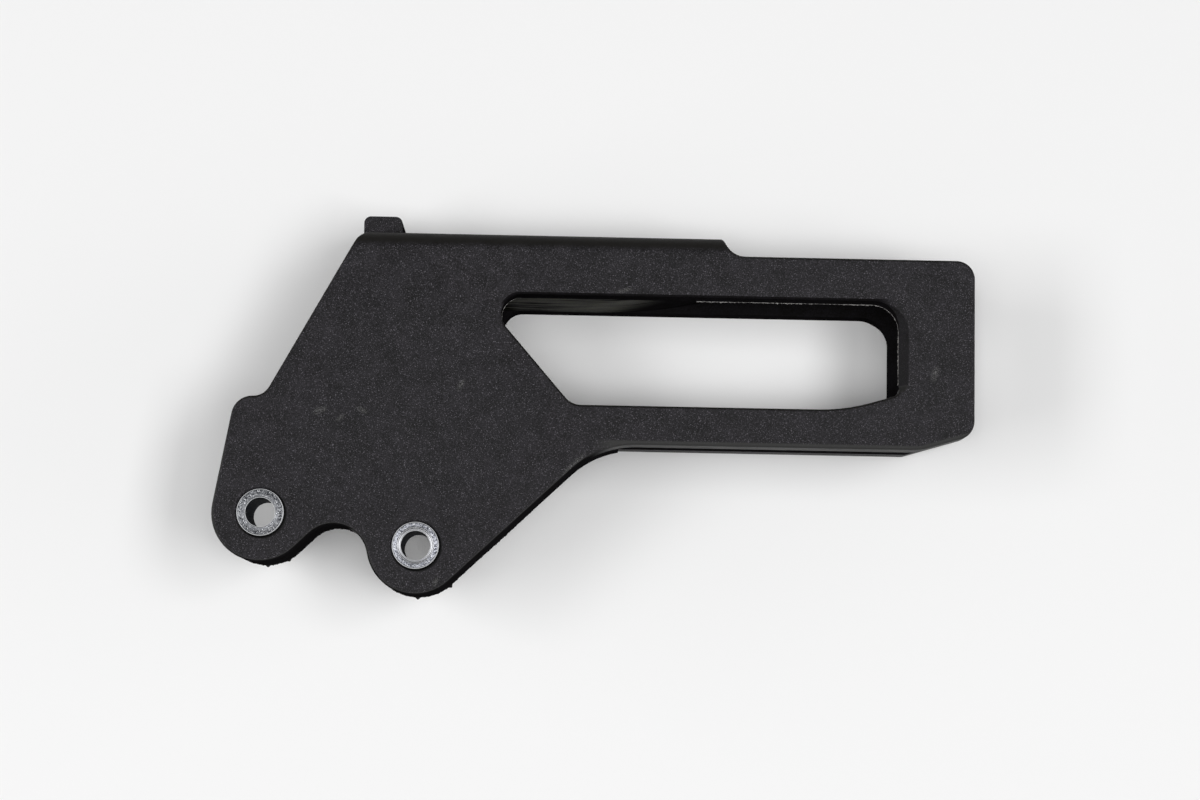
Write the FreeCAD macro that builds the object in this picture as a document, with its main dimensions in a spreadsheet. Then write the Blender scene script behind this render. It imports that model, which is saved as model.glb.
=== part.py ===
"""Motorcycle chain guide: a moulded plastic guide with two steel mounting bushes.

Frame: the origin is on the front bush's axis, in the face that bolts against the swingarm lug.
+X runs along the chain towards the sprocket, +Y from the bolts to the wear block, and +Z along the
bolts, out of the guide's outer face. The guide's mid-plane is Z = 0. Units are millimetres.
"""
import FreeCAD, Part
import Sketcher
import math
import os

doc = FreeCAD.newDocument("ChainGuide")

# Driving dimensions: alias, value in millimetres or degrees, meaning
SIZES = [
    ("channel_width", 20.0, "room for the chain between the side plates"),
    ("plate_thickness", 6.0, "each side plate"),
    ("floor_height", 48.3, "wear floor above the front bush axis"),
    ("ceiling_height", 24.5, "tunnel ceiling and window sill"),
    ("shoulder_rise", 0.6, "shoulder before the tunnel mouth, above the ceiling"),
    ("saddle_height", 61.7, "outside of the wear block"),
    ("saddle_step", 4.2, "wear block above the tail plates"),
    ("bar_height", 16.05, "lower edge of the tail plates"),
    ("inner_trim", 1.35, "wheel-side plate shorter than the outer plate along its lower edge"),
    ("saddle_front", 19.87, "front end of the wear block's outside"),
    ("saddle_rear", 98.3, "rear end of the wear block's outside"),
    ("step_run", 1.9, "slope of the step from the wear block to the tail"),
    ("mouth_foot", -0.1, "where the slanted tunnel mouth meets the shoulder"),
    ("tail_end", 153.0, "rear end of the tail plates"),
    ("tail_slope", 16.7, "angle of the cut-back lower corner of the tail"),
    ("tail_slope_run", 11.7, "length of the cut-back corner along the chain"),
    ("ceiling_end", 76.5, "rear end of the tunnel ceiling"),
    ("floor_setback", 1.8, "wear floor ending short of the wear block's rear end"),
    ("exit_flare_radius", 105.0, "curve of the floor at the rear"),
    ("exit_flare_run", 25.0, "length of the rear curve"),
    ("entry_flare_start", 27.0, "where the floor starts to fall away to the front"),
    ("entry_flare_radius", 45.0, "curve of the floor at the front"),
    ("entry_flare_run", 22.0, "length of the front curve"),
    ("floor_nose_radius", 2.5, "rounded rear lip of the wear floor"),
    ("window_sill_start", 66.05, "front end of the window's lower edge"),
    ("window_lean", 49.0, "angle of the window's front edge"),
    ("tail_post", 15.85, "plate between the window and the tail's end"),
    ("window_draft", 15.5, "lean of the window's rear wall in each plate"),
    ("window_land", 0.6, "straight part of the rear wall, next to the channel"),
    ("window_slope_run", 12.1, "length of the window's rising lower edge along the chain"),
    ("window_front_radius", 4.3, "front corners of the window"),
    ("window_top_radius", 6.0, "upper rear corner of the window"),
    ("window_low_radius", 2.5, "lower rear corner of the window"),
    ("window_bend_radius", 40.0, "soft bend where the window's lower edge starts to rise"),
    ("slope_blend_radius", 14.0, "soft bend where the tail's lower edge starts to rise"),
    ("shoulder_radius", 4.5, "front corner of the shoulder"),
    ("mouth_fillet", 4.0, "inner corner between shoulder and tunnel mouth"),
    ("tail_corner_radius", 4.0, "rear corners of the tail"),
    ("step_fillet", 4.5, "inner corner of the step behind the wear block"),
    ("bush_outer_diameter", 10.0, "steel bush"),
    ("bush_bore", 6.3, "clearance bore for an M6 bolt"),
    ("bush_proud", 0.6, "bush standing out of the outer face"),
    ("bush_seat_proud", 0.3, "bush standing out of the mounting face"),
    ("bush_break", 0.25, "broken edges of the bushes"),
    ("bush_countersink", 0.85, "wide chamfer in the rear bush's outer end"),
    ("bush_pitch", 33.3, "distance between the bushes along the chain"),
    ("bush_drop", 6.45, "rear bush below the front one"),
    ("ear_radius", 10.5, "plastic round each bush"),
    ("edge_lean", 10.0, "lean of the block's front edge"),
    ("notch_radius", 7.3, "scallop between the ears"),
    ("notch_depth", 2.2, "crown of the scallop below the front bush axis"),
    ("brace_angle", 43.5, "slope of the block's rear edge"),
    ("brace_fillet", 20.0, "curve from the block's rear edge into the tail"),
    ("tab_length", 8.4, "lug on the wear block, along the chain"),
    ("tab_width", 16.0, "lug across the chain"),
    ("tab_rise", 4.3, "lug above the wear block"),
    ("tab_corner", 1.5, "rounded corners of the lug"),
    ("edge_round", 0.6, "soft outer edges of the moulding"),
    ("seat_lead", 0.5, "bevelled mouth of each bush seat"),
]

sheet = doc.addObject("Spreadsheet::Sheet", "Sizes")
for row, (alias, number, meaning) in enumerate(SIZES, start=1):
    sheet.set(f"A{row}", alias)
    sheet.set(f"B{row}", str(number))
    sheet.set(f"C{row}", meaning)
    sheet.setAlias(f"B{row}", alias)
doc.recompute()

# Sizes that follow from the driving ones, as expressions
HALF_WIDTH = "(Sizes.channel_width / 2 + Sizes.plate_thickness)"
FULL_WIDTH = "(Sizes.channel_width + 2 * Sizes.plate_thickness)"
TAIL_HEIGHT = "(Sizes.saddle_height - Sizes.saddle_step)"
SADDLE_ROUND = "(0.95 * Sizes.saddle_step)"
TAIL_BEND = "(Sizes.tail_end - Sizes.tail_slope_run)"
TAIL_RISE = "Sizes.tail_slope_run * tan(Sizes.tail_slope)"
WINDOW_END = "(Sizes.tail_end - Sizes.tail_post)"
WINDOW_RISE = "Sizes.window_slope_run * tan(Sizes.tail_slope)"
SHOULDER = "(Sizes.ceiling_height + Sizes.shoulder_rise)"
WINDOW_RUN = "(Sizes.floor_height - Sizes.ceiling_height) / tan(Sizes.window_lean)"
WINDOW_RIM = f"({WINDOW_END} + (Sizes.plate_thickness - Sizes.window_land) * tan(Sizes.window_draft))"
FLOOR_END = "(Sizes.saddle_rear - Sizes.floor_setback)"
EXIT_FLARE = f"({FLOOR_END} - Sizes.exit_flare_run)"
EDGE_FOOT = "-Sizes.ear_radius / cos(Sizes.edge_lean)"
DRAFT_INSET = "0.5 * Sizes.window_land"
INNER_CORNER = "0.2 * (Sizes.ceiling_height - Sizes.bar_height - Sizes.inner_trim)"
BLOCK_TOP = "(0.75 * Sizes.bar_height + 0.25 * Sizes.ceiling_height)"
# Cutting outlines reach well past the moulding on every side
BEFORE = "-3 * Sizes.ear_radius"
BEYOND = "(1.2 * Sizes.tail_end)"
ABOVE = "(1.5 * Sizes.saddle_height)"
BELOW = "-4 * Sizes.ear_radius"

AXIS_Z = FreeCAD.Vector(0, 0, 1)
SAME = 1e-4


def value(expression):
    """The number that an expression on the sheet stands for."""
    return float(sheet.evalExpression(expression))


def new_body(name):
    """An empty body whose label names the sub-part."""
    body = doc.addObject("PartDesign::Body", name)
    body.Label = name
    return body


def new_sketch(body, name, role="XY_Plane"):
    """A sketch on one of the body's own origin planes."""
    sketch = body.newObject("Sketcher::SketchObject", name)
    plane = next(item for item in body.Origin.OriginFeatures if item.Role == role)
    sketch.AttachmentSupport = (plane, [""])
    sketch.MapMode = "FlatFace"
    return sketch


def constrain(sketch, expression, kind, *where):
    """Adds a dimension and binds it to the sheet."""
    index = sketch.addConstraint(Sketcher.Constraint(kind, *where, value(expression)))
    sketch.setExpression(f"Constraints[{index}]", expression)


def place(sketch, geometry, end, x, y):
    """Places one end of a sketch element by two expressions."""
    constrain(sketch, x, "DistanceX", -1, 1, geometry, end)
    constrain(sketch, y, "DistanceY", -1, 1, geometry, end)


def turn(sketch, expression, line):
    """Sets a line's direction by an angle from the sketch's X axis, as an expression in degrees."""
    angle = math.radians(value(expression))
    index = sketch.addConstraint(Sketcher.Constraint("Angle", line, angle))
    sketch.setExpression(f"Constraints[{index}]", f"({expression}) * 1 deg")


def polygon(sketch, corners):
    """A closed run of straight edges through corners given as pairs of expressions."""
    points = [FreeCAD.Vector(value(x), value(y), 0) for x, y in corners]
    first = sketch.GeometryCount
    count = len(points)
    for i, point in enumerate(points):
        sketch.addGeometry(Part.LineSegment(point, points[(i + 1) % count]))
    for i, (x, y) in enumerate(corners):
        sketch.addConstraint(Sketcher.Constraint("Coincident", first + i, 2, first + (i + 1) % count, 1))
        place(sketch, first + i, 1, x, y)


def arc(centre, radius, start, end):
    """A counter-clockwise arc between two angles in degrees."""
    circle = Part.Circle(FreeCAD.Vector(*centre, 0), AXIS_Z, radius)
    return Part.ArcOfCircle(circle, math.radians(start), math.radians(end))


def extrude(body, kind, sketch, length, side="One side", reverse=False):
    """Adds or removes the sketch's area over a length bound to the sheet, and checks that it did."""
    before = body.Shape.Volume if body.Tip else 0.0
    feature = body.newObject(f"PartDesign::{kind}", f"{kind}_{sketch.Name}")
    feature.Profile = sketch
    feature.SideType = side
    feature.Reversed = reverse
    feature.setExpression("Length", length)
    doc.recompute()
    change = body.Shape.Volume - before
    if (change > 0) != (kind == "Pad"):
        raise RuntimeError(f"{feature.Name} changed the volume by {change:.3f}")
    return feature


def upright_edges(body, corners):
    """Names of the edges along Z that stand on the given corners, pairs of expressions."""
    spots = [(value(x), value(y)) for x, y in corners]
    names = []
    for number, edge in enumerate(body.Shape.Edges, start=1):
        ends = [vertex.Point for vertex in edge.Vertexes]
        upright = len(ends) == 2 and math.hypot(ends[0].x - ends[1].x, ends[0].y - ends[1].y) < SAME
        if upright and any(math.hypot(ends[0].x - x, ends[0].y - y) < SAME for x, y in spots):
            names.append(f"Edge{number}")
    return names


def soften(body, kind, name, edges, size):
    """Rounds or bevels named edges of the body's tip by a size bound to the sheet."""
    base = body.Tip
    feature = body.newObject(f"PartDesign::{kind}", name)
    feature.Base = (base, edges)
    feature.setExpression("Radius" if kind == "Fillet" else "Size", size)
    doc.recompute()
    return feature


def edge_line(height):
    """Where the block's leaning front edge stands at a height, as an expression."""
    return f"{EDGE_FOOT} + ({height}) * tan(Sizes.edge_lean)"


def side_plates(body):
    """Both plates, the wear block and the ceiling as one slab, before the channel is cut."""
    shoulder = (edge_line(SHOULDER), SHOULDER)
    mouth = ("Sizes.mouth_foot", SHOULDER)
    step = ("Sizes.saddle_rear + Sizes.step_run", TAIL_HEIGHT)
    tail_top = ("Sizes.tail_end", TAIL_HEIGHT)
    tail_low = ("Sizes.tail_end", f"Sizes.bar_height + {TAIL_RISE}")
    tail_bend = (TAIL_BEND, "Sizes.bar_height")
    sketch = new_sketch(body, "PlateOutline")
    polygon(sketch, [
        mouth,
        shoulder,
        (edge_line("Sizes.bar_height"), "Sizes.bar_height"),
        tail_bend,
        tail_low,
        tail_top,
        step,
        ("Sizes.saddle_rear", "Sizes.saddle_height"),
        ("Sizes.saddle_front", "Sizes.saddle_height"),
    ])
    extrude(body, "Pad", sketch, FULL_WIDTH, "Symmetric")
    rounds = [
        ("ShoulderRound", [shoulder], "Sizes.shoulder_radius"),
        ("MouthFillet", [mouth], "Sizes.mouth_fillet"),
        ("TailRound", [tail_top, tail_low], "Sizes.tail_corner_radius"),
        ("TailBend", [tail_bend], "Sizes.slope_blend_radius"),
        ("StepFillet", [step], "Sizes.step_fillet"),
    ]
    for name, corners, radius in rounds:
        soften(body, "Fillet", name, upright_edges(body, corners), radius)


def mounting_block(body):
    """The half-depth block with its two ears, from the mounting face to the outer face."""
    ear = value("Sizes.ear_radius")
    notch = value("Sizes.notch_radius")
    lean = value("Sizes.edge_lean")
    slope = value("Sizes.brace_angle")
    bend = value("Sizes.brace_fillet")
    bar = value("Sizes.bar_height")
    top = value(BLOCK_TOP)
    rear_ear = (value("Sizes.bush_pitch"), -value("Sizes.bush_drop"))
    # The scallop touches the rear ear; a straight line joins it to the front ear
    notch_y = -value("Sizes.notch_depth") - notch
    reach = math.sqrt((ear + notch) ** 2 - (notch_y - rear_ear[1]) ** 2)
    notch_at = (rear_ear[0] - reach, notch_y)
    touch = math.degrees(math.atan2(notch_y - rear_ear[1], -reach))
    gap = math.hypot(*notch_at)
    cross = math.degrees(math.atan2(notch_at[1], notch_at[0]) - math.acos((ear + notch) / gap))
    # The brace leaves the rear ear and bends into the lower edge of the tail
    out = slope - 90.0
    start = FreeCAD.Vector(rear_ear[0] + ear * math.cos(math.radians(out)),
                           rear_ear[1] + ear * math.sin(math.radians(out)), 0)
    bend_y = bar - bend
    pitch = math.radians(slope)
    bend_x = start.x + (bend_y - start.y + bend / math.cos(pitch)) / math.tan(pitch)
    front_arc = arc((0, 0), ear, 180.0 - lean, 360.0 + cross)
    scallop_arc = arc(notch_at, notch, touch - 180.0, cross + 180.0)
    rear_arc = arc(rear_ear, ear, touch % 360.0, 360.0 + out)
    blend_arc = arc((bend_x, bend_y), bend, 90.0, 90.0 + slope)
    corner = FreeCAD.Vector(bend_x, top, 0)
    front = FreeCAD.Vector(value(edge_line(str(top))), top, 0)
    sketch = new_sketch(body, "BlockOutline")
    front_ear, link, scallop, back_ear, brace, blend, riser, cap, edge = sketch.addGeometry([
        front_arc,
        Part.LineSegment(front_arc.EndPoint, scallop_arc.EndPoint),
        scallop_arc,
        rear_arc,
        Part.LineSegment(rear_arc.EndPoint, blend_arc.EndPoint),
        blend_arc,
        Part.LineSegment(blend_arc.StartPoint, corner),
        Part.LineSegment(corner, front),
        Part.LineSegment(front, front_arc.StartPoint),
    ])
    joins = [
        ("Tangent", front_ear, 2, link, 1),
        ("Tangent", link, 2, scallop, 2),
        ("Tangent", scallop, 1, back_ear, 1),
        ("Tangent", back_ear, 2, brace, 1),
        ("Tangent", brace, 2, blend, 2),
        ("Perpendicular", blend, 1, riser, 1),
        ("Coincident", riser, 2, cap, 1),
        ("Coincident", cap, 2, edge, 1),
        ("Tangent", edge, 2, front_ear, 1),
        ("Coincident", front_ear, 3, -1, 1),
        ("Equal", front_ear, back_ear),
        ("Vertical", riser),
        ("Horizontal", cap),
    ]
    for join in joins:
        sketch.addConstraint(Sketcher.Constraint(*join))
    constrain(sketch, "Sizes.ear_radius", "Radius", front_ear)
    constrain(sketch, "Sizes.notch_radius", "Radius", scallop)
    constrain(sketch, "Sizes.brace_fillet", "Radius", blend)
    constrain(sketch, "-Sizes.notch_depth - Sizes.notch_radius", "DistanceY", -1, 1, scallop, 3)
    place(sketch, back_ear, 3, "Sizes.bush_pitch", "-Sizes.bush_drop")
    constrain(sketch, "Sizes.bar_height", "DistanceY", -1, 1, blend, 1)
    constrain(sketch, BLOCK_TOP, "DistanceY", -1, 1, cap, 1)
    turn(sketch, "Sizes.brace_angle", brace)
    turn(sketch, "-90 - Sizes.edge_lean", edge)
    extrude(body, "Pad", sketch, HALF_WIDTH)


def trim_inner_plate(body):
    """Shortens the wheel-side plate and the ceiling's inner half along their lower edge."""
    low = "(Sizes.bar_height + Sizes.inner_trim)"
    run = f"{BEYOND} - {TAIL_BEND}"
    sketch = new_sketch(body, "InnerTrim")
    polygon(sketch, [
        (BEFORE, low),
        (BEFORE, BELOW),
        (BEYOND, BELOW),
        (BEYOND, f"{low} + ({run}) * tan(Sizes.tail_slope)"),
        (TAIL_BEND, low),
    ])
    extrude(body, "Pocket", sketch, FULL_WIDTH)
    corner = upright_edges(body, [(edge_line(low), low)])
    soften(body, "Fillet", "InnerCorner", corner, INNER_CORNER)


def chain_channel(body):
    """The tunnel between the plates, open along the tail, with a floor that flares at both ends."""
    floor = value("Sizes.floor_height")
    ceiling = value("Sizes.ceiling_height")
    before, beyond = value(BEFORE), value(BEYOND)
    below, above = value(BELOW), value(ABOVE)
    ceiling_end = value("Sizes.ceiling_end")
    exit_start, exit_radius = value(EXIT_FLARE), value("Sizes.exit_flare_radius")
    entry_start, entry_radius = value("Sizes.entry_flare_start"), value("Sizes.entry_flare_radius")
    exit_turn = math.degrees(math.asin(value("Sizes.exit_flare_run") / exit_radius))
    entry_turn = math.degrees(math.asin(value("Sizes.entry_flare_run") / entry_radius))
    exit_arc = arc((exit_start, floor + exit_radius), exit_radius, 270.0, 270.0 + exit_turn)
    entry_arc = arc((entry_start, floor + entry_radius), entry_radius, 270.0 - entry_turn, 270.0)
    corners = [
        entry_arc.StartPoint,
        FreeCAD.Vector(before, entry_arc.StartPoint.y, 0),
        FreeCAD.Vector(before, ceiling, 0),
        FreeCAD.Vector(ceiling_end, ceiling, 0),
        FreeCAD.Vector(ceiling_end, below, 0),
        FreeCAD.Vector(beyond, below, 0),
        FreeCAD.Vector(beyond, above, 0),
        FreeCAD.Vector(exit_arc.EndPoint.x, above, 0),
        exit_arc.EndPoint,
    ]
    sketch = new_sketch(body, "ChannelOutline")
    lines = sketch.addGeometry([Part.LineSegment(a, b) for a, b in zip(corners, corners[1:])])
    out_curve, flat, in_curve = sketch.addGeometry([
        exit_arc,
        Part.LineSegment(exit_arc.StartPoint, entry_arc.EndPoint),
        entry_arc,
    ])
    for line, following in zip(lines, lines[1:]):
        sketch.addConstraint(Sketcher.Constraint("Coincident", line, 2, following, 1))
    for i, line in enumerate(lines):
        sketch.addConstraint(Sketcher.Constraint("Vertical" if i % 2 else "Horizontal", line))
    joins = [
        ("Coincident", lines[-1], 2, out_curve, 2),
        ("Tangent", out_curve, 1, flat, 1),
        ("Tangent", flat, 2, in_curve, 2),
        ("Coincident", in_curve, 1, lines[0], 1),
        ("Horizontal", flat),
    ]
    for join in joins:
        sketch.addConstraint(Sketcher.Constraint(*join))
    constrain(sketch, "Sizes.exit_flare_radius", "Radius", out_curve)
    constrain(sketch, "Sizes.entry_flare_radius", "Radius", in_curve)
    place(sketch, flat, 1, EXIT_FLARE, "Sizes.floor_height")
    constrain(sketch, "Sizes.entry_flare_start", "DistanceX", -1, 1, flat, 2)
    constrain(sketch, "Sizes.entry_flare_start - Sizes.entry_flare_run", "DistanceX", -1, 1, in_curve, 1)
    place(sketch, lines[1], 2, BEFORE, "Sizes.ceiling_height")
    place(sketch, lines[3], 2, "Sizes.ceiling_end", BELOW)
    place(sketch, lines[5], 2, BEYOND, ABOVE)
    constrain(sketch, FLOOR_END, "DistanceX", -1, 1, lines[6], 2)
    extrude(body, "Pocket", sketch, "Sizes.channel_width", "Symmetric")
    lip = (str(exit_arc.EndPoint.x), str(exit_arc.EndPoint.y))
    soften(body, "Fillet", "FloorNose", upright_edges(body, [lip]), "Sizes.floor_nose_radius")


def window(body):
    """The opening through both plates, with its lower rear corner cut back like the tail's."""
    top_front = (f"Sizes.window_sill_start - {WINDOW_RUN}", "Sizes.floor_height")
    top_rear = (WINDOW_END, "Sizes.floor_height")
    low_rear = (WINDOW_END, f"Sizes.ceiling_height + {WINDOW_RISE}")
    bend = (f"{WINDOW_END} - Sizes.window_slope_run", "Sizes.ceiling_height")
    low_front = ("Sizes.window_sill_start", "Sizes.ceiling_height")
    sketch = new_sketch(body, "WindowOutline")
    polygon(sketch, [top_front, low_front, bend, low_rear, top_rear])
    extrude(body, "Pocket", sketch, FULL_WIDTH, "Symmetric")
    rounds = [
        ("WindowFront", [top_front, low_front], "Sizes.window_front_radius"),
        ("WindowTop", [top_rear], "Sizes.window_top_radius"),
        ("WindowLow", [low_rear], "Sizes.window_low_radius"),
        ("WindowBend", [bend], "Sizes.window_bend_radius"),
    ]
    for name, corners, radius in rounds:
        soften(body, "Fillet", name, upright_edges(body, corners), radius)


def window_draft(body):
    """The leaning rear wall of the window, widest at the outer face of each plate."""
    rim, middle = value(WINDOW_RIM), value(f"{WINDOW_END} - Sizes.window_slope_run")
    top = value(f"Sizes.floor_height - {DRAFT_INSET}")
    low = value(f"Sizes.ceiling_height + {DRAFT_INSET}")
    slope = value("Sizes.tail_slope")
    upper, lower = value("Sizes.window_top_radius + Sizes.window_land"), value("Sizes.window_low_radius")
    # The lower corner touches the rear wall and the rising sill
    lower_x = rim - lower
    rise = (lower_x - middle) * math.tan(math.radians(slope))
    lower_y = low + rise + lower / math.cos(math.radians(slope))
    upper_arc = arc((rim - upper, top - upper), upper, 0.0, 90.0)
    lower_arc = arc((lower_x, lower_y), lower, 270.0 + slope, 360.0)
    corner = FreeCAD.Vector(middle, low, 0)
    sketch = new_sketch(body, "DraftOutline")
    sketch.setExpression("AttachmentOffset.Base.z", HALF_WIDTH)
    head, high_bend, wall, low_bend, sill, front = sketch.addGeometry([
        Part.LineSegment(FreeCAD.Vector(middle, top, 0), upper_arc.EndPoint),
        upper_arc,
        Part.LineSegment(upper_arc.StartPoint, lower_arc.EndPoint),
        lower_arc,
        Part.LineSegment(lower_arc.StartPoint, corner),
        Part.LineSegment(corner, FreeCAD.Vector(middle, top, 0)),
    ])
    joins = [
        ("Tangent", head, 2, high_bend, 2),
        ("Tangent", high_bend, 1, wall, 1),
        ("Tangent", wall, 2, low_bend, 2),
        ("Tangent", low_bend, 1, sill, 1),
        ("Coincident", sill, 2, front, 1),
        ("Coincident", front, 2, head, 1),
        ("Horizontal", head),
        ("Vertical", wall),
        ("Vertical", front),
    ]
    for join in joins:
        sketch.addConstraint(Sketcher.Constraint(*join))
    constrain(sketch, "Sizes.window_top_radius + Sizes.window_land", "Radius", high_bend)
    constrain(sketch, "Sizes.window_low_radius", "Radius", low_bend)
    constrain(sketch, WINDOW_RIM, "DistanceX", -1, 1, wall, 1)
    place(sketch, sill, 2, f"{WINDOW_END} - Sizes.window_slope_run", f"Sizes.ceiling_height + {DRAFT_INSET}")
    constrain(sketch, f"Sizes.floor_height - {DRAFT_INSET}", "DistanceY", -1, 1, head, 1)
    turn(sketch, "180 + Sizes.tail_slope", sill)
    cut = extrude(body, "Pocket", sketch, "Sizes.plate_thickness")
    cut.setExpression("TaperAngle", "-Sizes.window_draft")
    mirrored = body.newObject("PartDesign::Mirrored", "DraftBothPlates")
    plane = next(item for item in body.Origin.OriginFeatures if item.Role == "XY_Plane")
    mirrored.Originals = [cut]
    mirrored.MirrorPlane = (plane, [""])
    body.Tip = mirrored
    doc.recompute()


def edges_at(body, test):
    """Names of the edges whose every vertex passes a test."""
    names = []
    for number, edge in enumerate(body.Shape.Edges, start=1):
        if edge.Vertexes and all(test(vertex.Point) for vertex in edge.Vertexes):
            names.append(f"Edge{number}")
    return names


def round_saddle(body):
    """The wear block's long outer edges, rounded almost down to the tail plates."""
    crest, half = value("Sizes.saddle_height"), value(HALF_WIDTH)
    long_edges = edges_at(body, lambda p: abs(p.y - crest) < SAME and abs(abs(p.z) - half) < SAME)
    soften(body, "Fillet", "SaddleRound", long_edges, SADDLE_ROUND)


def lug(body):
    """The small lug on the wear block's outside, at its front end."""
    crest = "(Sizes.saddle_height + Sizes.tab_rise)"
    far = "(Sizes.saddle_front + Sizes.tab_length)"
    sketch = new_sketch(body, "LugOutline")
    polygon(sketch, [
        ("Sizes.saddle_front", TAIL_HEIGHT),
        (far, TAIL_HEIGHT),
        (far, crest),
        ("Sizes.saddle_front", crest),
    ])
    extrude(body, "Pad", sketch, "Sizes.tab_width", "Symmetric")
    corners = [("Sizes.saddle_front", crest), (far, crest)]
    soften(body, "Fillet", "LugRound", upright_edges(body, corners), "Sizes.tab_corner")


def soft_edges(body):
    """The softened rims of both outer faces, round the outline and the window."""
    half = value(HALF_WIDTH)
    crest = value(f"Sizes.saddle_height - {SADDLE_ROUND}")
    rims = edges_at(body, lambda p: abs(abs(p.z) - half) < SAME and abs(p.y - crest) > SAME)
    soften(body, "Fillet", "SoftEdges", rims, "Sizes.edge_round")


def bush_seats(body):
    """The two holes that hold the bushes, with a bevelled mouth in the outer face."""
    sketch = new_sketch(body, "BushSeats")
    radius = value("Sizes.bush_outer_diameter") / 2
    rear = FreeCAD.Vector(value("Sizes.bush_pitch"), -value("Sizes.bush_drop"), 0)
    front_seat, rear_seat = sketch.addGeometry([
        Part.Circle(FreeCAD.Vector(0, 0, 0), AXIS_Z, radius),
        Part.Circle(rear, AXIS_Z, radius),
    ])
    sketch.addConstraint(Sketcher.Constraint("Coincident", front_seat, 3, -1, 1))
    sketch.addConstraint(Sketcher.Constraint("Equal", front_seat, rear_seat))
    constrain(sketch, "Sizes.bush_outer_diameter", "Diameter", front_seat)
    place(sketch, rear_seat, 3, "Sizes.bush_pitch", "-Sizes.bush_drop")
    extrude(body, "Pocket", sketch, HALF_WIDTH, reverse=True)
    half = value(HALF_WIDTH)
    spots = [(0.0, 0.0), (rear.x, rear.y)]
    mouths = edges_at(body, lambda p: abs(p.z - half) < SAME and any(
        abs(math.hypot(p.x - x, p.y - y) - radius) < SAME for x, y in spots))
    soften(body, "Chamfer", "SeatLead", mouths, "Sizes.seat_lead")


def bush(name, countersink, x, y):
    """A turned steel bush, standing proud of both faces of the mounting block."""
    body = new_body(name)
    outer, bore = "Sizes.bush_outer_diameter / 2", "Sizes.bush_bore / 2"
    low, top = "-Sizes.bush_seat_proud", f"({HALF_WIDTH} + Sizes.bush_proud)"
    edge = "Sizes.bush_break"
    sketch = new_sketch(body, f"{name}_profile", "XZ_Plane")
    polygon(sketch, [
        (f"{bore} + {edge}", low),
        (f"{outer} - {edge}", low),
        (outer, f"{low} + {edge}"),
        (outer, f"{top} - {edge}"),
        (f"{outer} - {edge}", top),
        (f"{bore} + {countersink}", top),
        (bore, f"{top} - {countersink}"),
        (bore, f"{low} + {edge}"),
    ])
    turned = body.newObject("PartDesign::Revolution", f"{name}_turned")
    turned.Profile = sketch
    turned.ReferenceAxis = (sketch, ["V_Axis"])
    turned.Angle = 360.0
    body.setExpression("Placement.Base.x", x)
    body.setExpression("Placement.Base.y", y)
    doc.recompute()
    return body


guide = new_body("guide_body")
side_plates(guide)
mounting_block(guide)
trim_inner_plate(guide)
chain_channel(guide)
window(guide)
round_saddle(guide)
soft_edges(guide)
window_draft(guide)
lug(guide)
bush_seats(guide)
front_bush = bush("front_bush", "Sizes.bush_break", "0", "0")
rear_bush = bush("rear_bush", "Sizes.bush_countersink", "Sizes.bush_pitch", "-Sizes.bush_drop")

# Every object must be sound before anything is written
for item in doc.Objects:
    if {"Invalid", "Error"} & set(item.State):
        raise RuntimeError(f"{item.Name}: {item.State}")
sub_parts = [guide, front_bush, rear_bush]
for body in sub_parts:
    shape = body.Shape
    if shape.isNull() or not shape.isValid() or len(shape.Solids) != 1:
        raise RuntimeError(f"{body.Label} has no sound solid")

os.makedirs("parts", exist_ok=True)
for body in sub_parts:
    body.Shape.exportStep(f"parts/{body.Label}.step")
    print(body.Label, round(body.Shape.Volume), body.Shape.BoundBox)
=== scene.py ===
"""Looks of the motorcycle chain guide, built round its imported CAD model. Units are metres."""
import math

import bpy
import numpy as np
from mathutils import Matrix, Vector


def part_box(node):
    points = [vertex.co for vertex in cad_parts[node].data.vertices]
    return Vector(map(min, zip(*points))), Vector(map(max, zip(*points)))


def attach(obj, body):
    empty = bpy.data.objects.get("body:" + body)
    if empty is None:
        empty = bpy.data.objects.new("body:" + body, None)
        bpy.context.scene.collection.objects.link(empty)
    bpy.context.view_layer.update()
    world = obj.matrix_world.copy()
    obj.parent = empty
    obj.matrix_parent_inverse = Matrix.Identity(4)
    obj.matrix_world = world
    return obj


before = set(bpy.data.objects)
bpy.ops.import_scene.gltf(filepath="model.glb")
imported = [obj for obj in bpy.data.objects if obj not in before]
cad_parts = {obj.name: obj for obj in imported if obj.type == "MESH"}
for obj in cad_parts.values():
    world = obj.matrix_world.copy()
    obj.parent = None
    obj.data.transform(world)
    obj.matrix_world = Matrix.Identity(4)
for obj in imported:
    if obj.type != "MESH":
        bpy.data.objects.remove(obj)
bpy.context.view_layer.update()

# Guide moulding: one injection-moulded piece of black nylon with side plates, wear block and ears.
# Its outer faces carry the fine spark grain of the mould, and its walls are plain and painted darker than
# the faces as shade.
# The chain has polished the wear floor, whose pale colour is partly that wear and partly a painted
# reflection, and handling has left pale rubs on the outer face.
MM = 0.001
FACE_COLOUR = (0.0100, 0.0093, 0.0108, 1.0)
WALL_SHADE_COLOUR = (0.0048, 0.0045, 0.0040, 1.0)
SADDLE_TINT_AND_SHADE_COLOUR = (0.0092, 0.0085, 0.0072, 1.0)
WORN_FLOOR_REFLECTION_COLOUR = (0.0550, 0.0545, 0.0270, 1.0)
SPECK_COLOUR = (0.170, 0.160, 0.182, 1.0)
RUB_COLOUR = (0.230, 0.230, 0.218, 1.0)
BUSH_GAP_SHADOW_COLOUR = (0.0008, 0.0008, 0.0008, 1.0)
GRAIN_SIZE = 0.22 * MM
GRAIN_DEPTH = 0.05 * MM
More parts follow.
